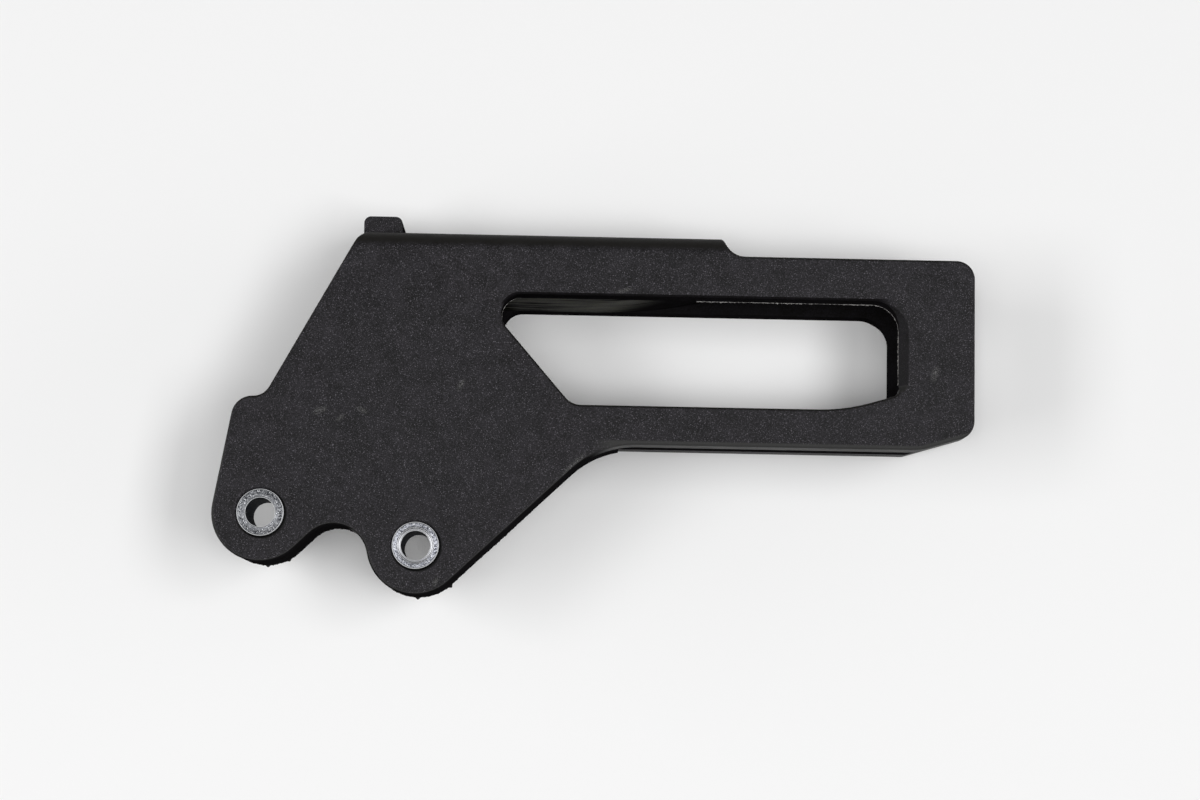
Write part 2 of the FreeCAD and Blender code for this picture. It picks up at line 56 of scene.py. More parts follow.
# Beside the grain lie broad tone changes and bright specks, at these shares of its fineness
BROAD_SHARE, SPECK_SHARE = 0.06, 1.15
TONE_GAIN, TONE_BASE = 2.2, 0.10
FACE_SHINE, FLOOR_SHINE, WALL_SHINE = 0.16, 0.03, 0.0
PLATE_FACE_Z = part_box("guide_body")[1].z
CHANNEL_HALF = 10.0 * MM
FLOOR_LEVEL = 48.3 * MM
LUG_FOOT = 61.6 * MM
WINDOW_END = 137.15 * MM
WINDOW_FRONT_TIP = 45.36 * MM
WINDOW_FRONT_RADIUS, WINDOW_LEAN = 4.3 * MM, 49.0
WINDOW_FRONT_X = WINDOW_FRONT_TIP + WINDOW_FRONT_RADIUS / math.tan(math.radians(WINDOW_LEAN / 2))
RIM_SHADE_BAND = 0.5 * MM
# The polish ends along a slanting line, and its streaks bend away towards the outer plate
POLISH_END, POLISH_SLANT, POLISH_RAGGED = 85.0 * MM, 0.55, 8.0 * MM
STREAK_BEND_START, STREAK_BEND = 66.0 * MM, 12.0
STREAKS_ALONG, STREAKS_ACROSS = 45.0, 620.0
TAIL_EDGE_START, TAIL_EDGE_TOP = 76.0 * MM, 30.0 * MM
EAR_EDGE_TOP = 15.5 * MM
FRONT_END_X, REAR_END_X = 22.0 * MM, 151.0 * MM
# A highlight is painted on the tail's lower edge over this height; past the bend the edge rises at the
# slope
TAIL_LOW, TAIL_BEND, TAIL_SLOPE = 16.05 * MM, 141.3 * MM, math.tan(math.radians(16.7))
EDGE_HIGHLIGHT_BAND = 1.1 * MM
EDGE_HIGHLIGHT_COLOUR = (0.034, 0.034, 0.033, 1.0)
# A dark ring is painted in the gap round each bush: partly the dark gap, partly painted shadow that falls
# heavier to the lower right
BUSH_GAP_SHADOW_RADIUS = 5.20 * MM
BUSH_GAP_SHADOW_SHIFT = Vector((0.40 * MM, -0.37 * MM, 0.0))
# Each rub on the outer face: centre x, centre y, length, width in millimetres, turn in degrees
FACE_RUBS = [
    (12.1, 22.2, 4.5, 2.2, 20.0),
    (21.1, 22.4, 4.0, 1.6, -25.0),
    (16.5, 20.6, 3.0, 1.5, 40.0),
    (144.3, 32.6, 5.0, 2.4, 75.0),
    (77.0, 49.5, 5.0, 1.4, 15.0),
    (42.2, 28.2, 4.0, 1.8, 65.0),
    (66.7, 11.6, 10.0, 1.5, 43.5),
    (37.7, -14.2, 3.0, 1.6, 60.0),
]


def put(tree, kind, inputs=None, **settings):
    """One shader node, with its properties and with numbers or other nodes' sockets on its inputs."""
    made = tree.nodes.new(kind)
    for name, setting in settings.items():
        setattr(made, name, setting)
    for key, given in (inputs or {}).items():
        if isinstance(given, bpy.types.NodeSocket):
            tree.links.new(given, made.inputs[key])
        else:
            made.inputs[key].default_value = given
    return made


def calculate(tree, operation, first, second=0.0):
    """The socket of one Math node."""
    return put(tree, "ShaderNodeMath", {0: first, 1: second}, operation=operation).outputs[0]


def blend(tree, factor, first, second):
    """The socket of a colour mixed from the first to the second by the factor."""
    made = put(tree, "ShaderNodeMix", {0: factor, 6: first, 7: second}, data_type="RGBA")
    return made.outputs[2]


def spread(tree, given, low, high, start=0.0, end=1.0):
    """A value carried from low..high to start..end, smoothly and without going past either end."""
    made = put(tree, "ShaderNodeMapRange", {0: given, 1: low, 2: high, 3: start, 4: end})
    made.interpolation_type = "SMOOTHSTEP"
    return made.outputs[0]


def new_group(name, inputs, outputs):
    """An empty node group with value or vector inputs and value outputs."""
    tree = bpy.data.node_groups.new(name, "ShaderNodeTree")
    for label, kind in inputs:
        tree.interface.new_socket(name=label, in_out="INPUT", socket_type=kind)
    for label in outputs:
        tree.interface.new_socket(name=label, in_out="OUTPUT", socket_type="NodeSocketFloat")
    source = tree.nodes.new("NodeGroupInput").outputs
    result = tree.nodes.new("NodeGroupOutput").inputs
    return tree, source, result


def place_group(tree, group, inputs):
    """A node group placed in a material with its own values."""
    return put(tree, "ShaderNodeGroup", inputs, node_tree=group).outputs


def spark_grain():
    """Grain of a spark-eroded mould: fine noise for height, broad noise for tone, peaks for specks."""
    tree, source, result = new_group(
        "spark_grain",
        [("Vector", "NodeSocketVector"), ("Fineness", "NodeSocketFloat")],
        ["Height", "Tone", "Specks"],
    )
    where, fine = source["Vector"], source["Fineness"]
    grain = put(tree, "ShaderNodeTexNoise", {
        "Vector": where, "Scale": fine, "Detail": 2.0, "Roughness": 0.6})
    coarse = put(tree, "ShaderNodeTexNoise", {
        "Vector": where, "Scale": calculate(tree, "MULTIPLY", fine, BROAD_SHARE),
        "Detail": 3.0, "Roughness": 0.55})
    flecks = put(tree, "ShaderNodeTexNoise", {
        "Vector": where, "Scale": calculate(tree, "MULTIPLY", fine, SPECK_SHARE),
        "Detail": 1.0, "Roughness": 0.4})
    height = grain.outputs["Fac"]
    tone = calculate(tree, "ADD", calculate(tree, "MULTIPLY", height, 0.7),
                     calculate(tree, "MULTIPLY", coarse.outputs["Fac"], 0.3))
    tree.links.new(height, result["Height"])
    tree.links.new(tone, result["Tone"])
    tree.links.new(spread(tree, flecks.outputs["Fac"], 0.58, 0.85), result["Specks"])
    return tree


def rub_mask():
    """One rubbed patch: a turned ellipse that fades outwards, broken up by stretched noise."""
    tree, source, result = new_group(
        "rub_mask",
        [("Vector", "NodeSocketVector"), ("Centre", "NodeSocketVector"), ("Turn", "NodeSocketVector"),
         ("Reach", "NodeSocketVector")],
        ["Mask"],
    )
    local = put(tree, "ShaderNodeMapping", {
        "Vector": source["Vector"], "Location": source["Centre"], "Rotation": source["Turn"],
        "Scale": source["Reach"]}, vector_type="TEXTURE").outputs[0]
    distance = put(tree, "ShaderNodeVectorMath", {0: local}, operation="LENGTH").outputs["Value"]
    streaks = put(tree, "ShaderNodeTexNoise", {
        "Vector": local, "Scale": 6.0, "Detail": 4.0, "Roughness": 0.8})
    fade = spread(tree, distance, 0.1, 1.0, 1.0, 0.0)
    marks = spread(tree, streaks.outputs["Fac"], 0.44, 0.66)
    tree.links.new(calculate(tree, "MULTIPLY", fade, marks), result["Mask"])
    return tree


GRAIN = spark_grain()
RUB = rub_mask()


def new_material(name):
    """A material with an empty Principled surface, its tree and the object's own coordinates."""
    material = bpy.data.materials.new(name)
    material.use_nodes = True
    tree = material.node_tree
    surface = tree.nodes["Principled BSDF"]
    coordinates = put(tree, "ShaderNodeTexCoord").outputs
    return material, tree, surface, coordinates


def moulded_nylon():
    """Black nylon: grained faces with bright specks, walls painted dark as shade, a polished floor partly
    painted as a reflection, a painted shadow round each bush, painted edge highlights and pale rubs.
    """
    material, tree, grained, coordinates = new_material("black_nylon")
    where = coordinates["Object"]
    normal = put(tree, "ShaderNodeSeparateXYZ", {0: coordinates["Normal"]}).outputs
    position = put(tree, "ShaderNodeSeparateXYZ", {0: where}).outputs
    depth = calculate(tree, "ABSOLUTE", position["Z"])
    down = calculate(tree, "MULTIPLY", normal["Y"], -1.0)
    in_plates = spread(tree, depth, CHANNEL_HALF - 0.2 * MM, CHANNEL_HALF)
    # On the ears and the brace the rounded edges take the dark wall surface from further in, a painted
    # shade standing in for a shadowed drafted wall, and other edges stay grained
    outward = calculate(tree, "ABSOLUTE", normal["Z"])
    at_ears = spread(tree, position["Y"], EAR_EDGE_TOP, EAR_EDGE_TOP - 3.0 * MM)
    # A ring of painted shadow, partly the dark gap itself, round each bush
    gap_shadow = 0.0
    for node in ("front_bush", "rear_bush"):
        low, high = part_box(node)
        ring = put(tree, "ShaderNodeVectorMath", {
            0: where, 1: (low + high) / 2 + BUSH_GAP_SHADOW_SHIFT}, operation="SUBTRACT").outputs[0]
        flat = put(tree, "ShaderNodeVectorMath", {
            0: ring, 1: (1.0, 1.0, 0.0)}, operation="MULTIPLY").outputs[0]
        reach = put(tree, "ShaderNodeVectorMath", {0: flat}, operation="LENGTH").outputs["Value"]
        mask = spread(tree, reach, BUSH_GAP_SHADOW_RADIUS - 0.1 * MM, BUSH_GAP_SHADOW_RADIUS + 0.25 * MM, 1.0, 0.0)
        gap_shadow = calculate(tree, "MAXIMUM", mask, gap_shadow)
        clear = spread(tree, reach, 1.2 * BUSH_GAP_SHADOW_RADIUS, 1.3 * BUSH_GAP_SHADOW_RADIUS)
        at_ears = calculate(tree, "MULTIPLY", at_ears, clear)
    face = put(tree, "ShaderNodeMix", {
        0: at_ears, 2: spread(tree, outward, 0.10, 0.44), 3: spread(tree, outward, 0.72, 0.94)}).outputs[0]
    # A thin highlight is painted where the ears' rounded edges begin
    rim = calculate(tree, "MULTIPLY", at_ears, spread(tree, outward, 0.94, 0.995, 1.0, 0.0))
    # The faces that look into the channel take the dark wall surface as painted shade, but the lug on the
    # wear block is grained
    outside = calculate(tree, "MAXIMUM",
                        spread(tree, depth, CHANNEL_HALF + 0.1 * MM, CHANNEL_HALF + 0.4 * MM),
                        spread(tree, position["Y"], LUG_FOOT - 0.4 * MM, LUG_FOOT))
    face = calculate(tree, "MULTIPLY", face, outside)
    # Painted shade: the window's upper rim takes the dark wall surface in a band that bends round its front
    # corner, standing in for a shadowed drafted edge
    corner = put(tree, "ShaderNodeCombineXYZ", {
        0: calculate(tree, "MINIMUM", calculate(tree, "SUBTRACT", position["X"], WINDOW_FRONT_X), 0.0),
        1: calculate(tree, "SUBTRACT", position["Y"], FLOOR_LEVEL - WINDOW_FRONT_RADIUS)}).outputs[0]
    from_corner = put(tree, "ShaderNodeVectorMath", {0: corner}, operation="LENGTH").outputs["Value"]
    window_rim_shade = spread(tree, from_corner, WINDOW_FRONT_RADIUS + RIM_SHADE_BAND - 0.1 * MM,
                        WINDOW_FRONT_RADIUS + RIM_SHADE_BAND + 0.05 * MM, 1.0, 0.0)
    for given, low, high in ((position["Z"], CHANNEL_HALF, CHANNEL_HALF + 2.0 * MM),
                             (position["X"], WINDOW_END, WINDOW_END - 6.0 * MM),
                             (position["Y"], FLOOR_LEVEL - 3.0 * MM, FLOOR_LEVEL - 1.5 * MM)):
        window_rim_shade = calculate(tree, "MULTIPLY", window_rim_shade, spread(tree, given, low, high))
    face = calculate(tree, "MULTIPLY", face, spread(tree, window_rim_shade, 0.0, 1.0, 1.0, 0.0))
    # The edges that face away from the bolts, and the two ends of the guide, have the faces' grain
    front_end = calculate(tree, "MULTIPLY", spread(tree, normal["X"], -0.4, -0.6),
                          spread(tree, position["X"], FRONT_END_X, FRONT_END_X - 2.0 * MM))
    rear_end = calculate(tree, "MULTIPLY", spread(tree, normal["X"], 0.4, 0.6),
                         spread(tree, position["X"], REAR_END_X, REAR_END_X + 1.0 * MM))
    for edges in (front_end, rear_end, spread(tree, normal["Y"], 0.10, 0.30)):
        face = calculate(tree, "MAXIMUM", face, edges)
    # The lower edges of the tail plates have the faces' grain
    tail_edge = calculate(tree, "MULTIPLY", spread(tree, down, 0.5, 0.8), in_plates)
    for given, low, high in ((position["X"], TAIL_EDGE_START - 6.0 * MM, TAIL_EDGE_START),
                             (position["Y"], TAIL_EDGE_TOP, TAIL_EDGE_TOP - 4.0 * MM)):
        tail_edge = calculate(tree, "MULTIPLY", tail_edge, spread(tree, given, low, high))
    face = calculate(tree, "MAXIMUM", face, tail_edge)
    # A painted highlight along the tail's lower edge, rising past the bend, joined by the ears' rim
    # highlight
    rise = calculate(tree, "MULTIPLY", calculate(tree, "MAXIMUM", calculate(
        tree, "SUBTRACT", position["X"], TAIL_BEND), 0.0), TAIL_SLOPE)
    over_edge = calculate(tree, "SUBTRACT", calculate(tree, "SUBTRACT", position["Y"], rise), TAIL_LOW)
    highlight_band = calculate(tree, "MULTIPLY", spread(tree, over_edge, EDGE_HIGHLIGHT_BAND * 0.6, EDGE_HIGHLIGHT_BAND, 1.0, 0.0),
                     spread(tree, position["X"], TAIL_EDGE_START - 6.0 * MM, TAIL_EDGE_START))
    highlight_band = calculate(tree, "MAXIMUM", highlight_band, calculate(tree, "MULTIPLY", rim, 0.8))
    # The wear floor faces the bolts and lies between the plates
    between = spread(tree, in_plates, 0.0, 1.0, 1.0, 0.0)
    floor = calculate(tree, "MULTIPLY", spread(tree, down, 0.75, 0.95), between)
    floor = calculate(tree, "MULTIPLY", floor,
                      spread(tree, position["Y"], FLOOR_LEVEL - 1.0 * MM, FLOOR_LEVEL - 0.5 * MM))
    slanted = calculate(tree, "MULTIPLY", position["Z"], POLISH_SLANT)
    along = calculate(tree, "SUBTRACT", position["X"], slanted)
    past = calculate(tree, "MAXIMUM", calculate(tree, "SUBTRACT", position["X"], STREAK_BEND_START), 0.0)
    bent = calculate(tree, "SUBTRACT", position["Z"],
                     calculate(tree, "MULTIPLY", calculate(tree, "MULTIPLY", past, past), STREAK_BEND))
    run = put(tree, "ShaderNodeCombineXYZ", {
        0: calculate(tree, "MULTIPLY", position["X"], STREAKS_ALONG),
        2: calculate(tree, "MULTIPLY", bent, STREAKS_ACROSS)}).outputs[0]
    streaks = put(tree, "ShaderNodeTexNoise", {
        "Vector": run, "Scale": 1.0, "Detail": 3.0, "Roughness": 0.6}).outputs["Fac"]
    fading = calculate(tree, "ADD", along, calculate(tree, "MULTIPLY", streaks, POLISH_RAGGED))
    reached = spread(tree, fading, POLISH_END - POLISH_RAGGED, POLISH_END + 6.0 * MM, 1.0, 0.0)
    polish = calculate(tree, "MULTIPLY", reached, spread(tree, streaks, 0.36, 0.60))
    grain = place_group(tree, GRAIN, {"Vector": where, "Fineness": 1.0 / GRAIN_SIZE})
    tone = spread(tree, grain["Tone"], 0.36, 0.64)
    rubs = 0.0
    for x, y, length, width, angle in FACE_RUBS:
        mask = place_group(tree, RUB, {
            "Vector": where,
            "Centre": (x * MM, y * MM, PLATE_FACE_Z),
            "Turn": (0.0, 0.0, math.radians(angle)),
            "Reach": (length * MM / 2, width * MM / 2, 2.0 * MM),
        })["Mask"]
        rubs = calculate(tree, "MAXIMUM", mask, rubs)
    shade = calculate(tree, "MULTIPLY_ADD", tone, TONE_GAIN)
    shade.node.inputs[2].default_value = TONE_BASE
    varied = put(tree, "ShaderNodeVectorMath", {
        0: FACE_COLOUR[:3], 1: shade}, operation="MULTIPLY").outputs[0]
    # The rounded top of the wear block is smoother and warmer than the faces, and painted darker there as
    # shade
    top = spread(tree, normal["Y"], 0.10, 0.50)
    varied = blend(tree, calculate(tree, "MULTIPLY", top, 0.85), varied, SADDLE_TINT_AND_SHADE_COLOUR)
    specks = calculate(tree, "MULTIPLY", grain["Specks"], spread(tree, top, 0.0, 0.8, 1.0, 0.0))
    colour = blend(tree, specks, varied, SPECK_COLOUR)
    # Painted highlight along the tail's lower edge and the ears' rims
    colour = blend(tree, calculate(tree, "MULTIPLY", highlight_band, 0.85), colour, EDGE_HIGHLIGHT_COLOUR)
    # A rub whitens the tops of the grain first
    rubbed = calculate(tree, "MULTIPLY", rubs, spread(tree, grain["Height"], 0.40, 0.62, 0.15, 1.0))
    colour = blend(tree, rubbed, colour, RUB_COLOUR)
    # Painted shadow, partly the dark gap, in a ring round each bush
    colour = blend(tree, gap_shadow, colour, BUSH_GAP_SHADOW_COLOUR)
    rough = spread(tree, tone, 0.0, 1.0, 0.52, 0.68)
    bump = put(tree, "ShaderNodeBump", {
        "Strength": 0.7, "Distance": GRAIN_DEPTH, "Height": grain["Height"]}).outputs[0]
    for key, given in (("Base Color", colour), ("Roughness", rough), ("Normal", bump)):
        tree.links.new(given, grained.inputs[key])
    grained.inputs["Specular IOR Level"].default_value = FACE_SHINE
    # The walls: a plain copy of the nylon, painted darker than the faces as shade
    shaded_wall = put(tree, "ShaderNodeBsdfPrincipled", {
        "Base Color": blend(tree, tone, WALL_SHADE_COLOUR, FACE_COLOUR),
        "Roughness": spread(tree, tone, 0.0, 1.0, 0.70, 0.85),
        "Specular IOR Level": WALL_SHINE,
        "Normal": bump,
    })
    # The polished floor: pale from chain wear and from a painted reflection of the pale floor
    polished = put(tree, "ShaderNodeBsdfPrincipled", {
        "Base Color": blend(tree, tone, WORN_FLOOR_REFLECTION_COLOUR, FACE_COLOUR),
        "Roughness": spread(tree, streaks, 0.3, 0.7, 0.36, 0.55),
        "Specular IOR Level": FLOOR_SHINE,
    })
    inside = put(tree, "ShaderNodeMixShader", {
        0: calculate(tree, "MULTIPLY", floor, polish), 1: shaded_wall.outputs[0], 2: polished.outputs[0]})
    both = put(tree, "ShaderNodeMixShader", {0: face, 1: inside.outputs[0], 2: grained.outputs[0]})
    tree.links.new(both.outputs[0], tree.nodes["Material Output"].inputs["Surface"])
    return material


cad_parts["guide_body"].material_slots[0].material = moulded_nylon()

# Window flash: a thin torn fin of the same nylon, left where the mould parted at the window's inner rim.
# It stands on the outer plate's inner edge, along the top and down the rear, and has gone pale.
WINDOW_FLASH_COLOUR = (0.36, 0.35, 0.34, 1.0)
WINDOW_FLASH_DARK = (0.040, 0.038, 0.038, 1.0)
WINDOW_TOP_RADIUS, WINDOW_LOW_RADIUS = 6.0 * MM, 2.5 * MM
WINDOW_LOW = 28.2 * MM
FLASH_START = 93.0 * MM
FLASH_STEP = 0.12 * MM
FLASH_ROOT = 0.05 * MM
WINDOW_FLASH_THICKNESS = 0.12 * MM


def arc_points(centre, radius, start, end):
    """Points on a circle round the centre, from one angle to the other in degrees."""
    count = max(4, int(abs(math.radians(end - start)) * radius / FLASH_STEP))
    angles = np.radians(np.linspace(start, end, count))
    return np.stack([centre[0] + radius * np.cos(angles), centre[1] + radius * np.sin(angles)], axis=1)


def evenly(pieces):
    """One path through all the pieces, with points at equal steps of its length."""
    path = np.concatenate([np.asarray(piece, float) for piece in pieces])
    length = np.concatenate([[0.0], np.cumsum(np.linalg.norm(np.diff(path, axis=0), axis=1))])
    keep = np.concatenate([[True], np.diff(length) > 1e-9])
    steps = np.arange(0.0, length[-1], FLASH_STEP)
    return np.stack([np.interp(steps, length[keep], path[keep, axis]) for axis in (0, 1)], axis=1)


def ragged(count, low, high):
    """Heights along a fin: a sum of four sines of unrelated lengths, brought to the range 0 to 1 and raised
    to a power, so that peaks stand alone."""
    step = np.arange(count)
    wave = np.sin(step * 0.31) + np.sin(step * 0.73 + 1.0)
    wave = wave + np.sin(step * 1.71 + 2.0) + np.sin(step * 0.047)
    return low + (high - low) * ((wave + 4.0) / 8.0) ** 2.5


def fin(name, path, height, root_z, depth):
    """A closed fin: at each point of the path a triangle whose two root corners lie in the part, one above
    the other, and whose tip stands to the right of the path by the height."""
    along = np.gradient(path, axis=0)
    along /= np.linalg.norm(along, axis=1, keepdims=True)
    right = np.stack([along[:, 1], -along[:, 0]], axis=1)
    count = len(path)
    points = np.empty((count, 3, 3))
    points[:, 0, :2] = points[:, 1, :2] = path - right * FLASH_ROOT
    points[:, 2, :2] = path + right * height[:, None]
    points[:, 0, 2] = root_z
    points[:, 1, 2] = root_z + depth
    points[:, 2, 2] = root_z + depth / 2
    first = np.arange(count - 1)[:, None] * 3
    faces = [tuple(int(corner) for corner in row) for side in range(3) for row in np.concatenate(
        [first + side, first + 3 + side, first + 3 + (side + 1) % 3, first + (side + 1) % 3], axis=1)]
    last = 3 * count - 3
    faces += [(0, 1, 2), (last + 2, last + 1, last)]
    mesh = bpy.data.meshes.new(name)
    mesh.from_pydata(points.reshape(-1, 3).tolist(), [], faces)
    made = bpy.data.objects.new(name, mesh)
    bpy.context.scene.collection.objects.link(made)
    return made


def torn_nylon(name, dark, pale):
    """Torn nylon: dark and pale in patches of the grain's own noise, rough all over."""
    material, tree, surface, coordinates = new_material(name)
    grain = place_group(tree, GRAIN, {"Vector": coordinates["Object"], "Fineness": 0.5 / GRAIN_SIZE})
    colour = blend(tree, spread(tree, grain["Tone"], 0.35, 0.60), dark, pale)
    tree.links.new(colour, surface.inputs["Base Color"])
    tree.links.new(spread(tree, grain["Height"], 0.3, 0.7, 0.6, 0.85), surface.inputs["Roughness"])
    bump = put(tree, "ShaderNodeBump", {
        "Strength": 0.5, "Distance": GRAIN_DEPTH, "Height": grain["Height"]})
    tree.links.new(bump.outputs[0], surface.inputs["Normal"])
    surface.inputs["Specular IOR Level"].default_value = FACE_SHINE
    return material


window_rear = evenly([
    [(FLASH_START, FLOOR_LEVEL)],
    arc_points((WINDOW_END - WINDOW_TOP_RADIUS, FLOOR_LEVEL - WINDOW_TOP_RADIUS),
               WINDOW_TOP_RADIUS, 90.0, 0.0),
    [(WINDOW_END, WINDOW_LOW + WINDOW_LOW_RADIUS)],
])
front_centre = (WINDOW_FRONT_X, FLOOR_LEVEL - WINDOW_FRONT_RADIUS)
window_front = evenly([arc_points(front_centre, WINDOW_FRONT_RADIUS, 270.0 - WINDOW_LEAN, 90.0)])
whitened = torn_nylon("whitened_nylon", WINDOW_FLASH_DARK, WINDOW_FLASH_COLOUR)
# Each fin: its path, and its least and greatest height
WINDOW_FINS = {
    "window_flash_rear": (window_rear, 0.05 * MM, 0.34 * MM),
    "window_flash_front": (window_front, 0.0, 0.20 * MM),
}
for flash_name, (path, least, peak) in WINDOW_FINS.items():
    flash = fin(flash_name, path, ragged(len(path), least, peak), CHANNEL_HALF, WINDOW_FLASH_THICKNESS)
    flash.data.materials.append(whitened)
    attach(flash, "root")

# Parting flash: a ragged black fin of nylon round the ears, the scallop and the brace.
# It was squeezed out of the mould in the plane of the mounting block's back, and stands out at four nibs.
PARTING_COLOUR = (0.0035, 0.0033, 0.0031, 1.0)
PARTING_PALE = (0.0100, 0.0096, 0.0094, 1.0)
EAR_RADIUS = 10.5 * MM
NOTCH_RADIUS = 7.3 * MM
NOTCH_DEPTH = 2.2 * MM
EDGE_LEAN, BRACE_ANGLE = 10.0, 43.5
BRACE_RUN = 24.0 * MM
NIB_HALF = 0.45 * MM
PARTING_LEAST, PARTING_PEAK, PARTING_THICKNESS = 0.02 * MM, 0.26 * MM, 0.3 * MM
# Each nib: the direction from its ear's centre in degrees, the ear it stands on and its height
NIBS = [
    (272.0, "front_bush", 0.50 * MM),
    (298.0, "front_bush", 0.40 * MM),
    (270.0, "rear_bush", 0.50 * MM),
    (312.0, "rear_bush", 0.55 * MM),
]
ears = {node: np.array((sum(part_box(node), Vector()) / 2)[:2]) for node in ("front_bush", "rear_bush")}
front_ear, rear_ear = ears["front_bush"], ears["rear_bush"]
notch_y = -NOTCH_DEPTH - NOTCH_RADIUS
notch_reach = math.sqrt((EAR_RADIUS + NOTCH_RADIUS) ** 2 - (notch_y - rear_ear[1]) ** 2)
notch_at = np.array([rear_ear[0] - notch_reach, notch_y])
touch = math.degrees(math.atan2(notch_y - rear_ear[1], -notch_reach))
cross = math.degrees(math.atan2(notch_at[1], notch_at[0])
                     - math.acos((EAR_RADIUS + NOTCH_RADIUS) / np.linalg.norm(notch_at)))
rear_arc = arc_points(rear_ear, EAR_RADIUS, touch % 360.0, 270.0 + BRACE_ANGLE)
brace_way = np.array([math.cos(math.radians(BRACE_ANGLE)), math.sin(math.radians(BRACE_ANGLE))])
parting = evenly([
    arc_points(front_ear, EAR_RADIUS, 180.0 - EDGE_LEAN, 360.0 + cross),
    arc_points(notch_at, NOTCH_RADIUS, cross + 180.0, touch % 360.0 - 180.0),
    rear_arc,
    [rear_arc[-1] + brace_way * BRACE_RUN],
])
parting_height = ragged(len(parting), PARTING_LEAST, PARTING_PEAK)
for angle, node, height in NIBS:
    tip = ears[node] + EAR_RADIUS * np.array([math.cos(math.radians(angle)), math.sin(math.radians(angle))])
    away = np.linalg.norm(parting - tip, axis=1)
    parting_height = np.maximum(parting_height, height * np.exp(-(away / NIB_HALF) ** 2))
parting_flash = fin("parting_flash", parting, parting_height, 0.0, PARTING_THICKNESS)
parting_flash.data.materials.append(torn_nylon("torn_black_nylon", PARTING_COLOUR, PARTING_PALE))
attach(parting_flash, "root")

# Steel bushes: two plain turned sleeves of zinc-plated steel, pressed into the ears.
# The lathe left fine rings on their ends, bolt heads have scratched them, and their bores are matte and
# coloured very dark.
FLECK_COLOUR = (0.80, 0.81, 0.83, 1.0)
EDGE_HIGHLIGHT_STEEL = (0.74, 0.75, 0.77, 1.0)
BORE_COLOUR = (0.012, 0.014, 0.020, 1.0)
BORE_RADIUS, CHAMFER_RADIUS, RIM_RADIUS = 3.15 * MM, 4.0 * MM, 4.80 * MM
# Each bush: its bright and dull steel, and the steel of the chamfer round its bore; the rear chamfer's
# near-white steel is a painted highlight
BUSH_COLOURS = {
    "front_bush": ((0.155, 0.160, 0.172, 1.0), (0.018, 0.019, 0.023, 1.0), (0.20, 0.205, 0.22, 1.0)),
    "rear_bush": ((0.34, 0.35, 0.39, 1.0), (0.055, 0.058, 0.070, 1.0), (0.95, 0.96, 0.99, 1.0)),
}
RING_PITCH, RING_DEPTH = 0.22 * MM, 0.10 * MM
# Fineness of the dull patches and the flecks, and how far the chamfer and the edges have lost their lustre
PATCHES_PER_METRE, FLECKS_PER_METRE = 2300.0, 5200.0
CHAMFER_MATTE, MATTE_METAL = 0.3, 0.15


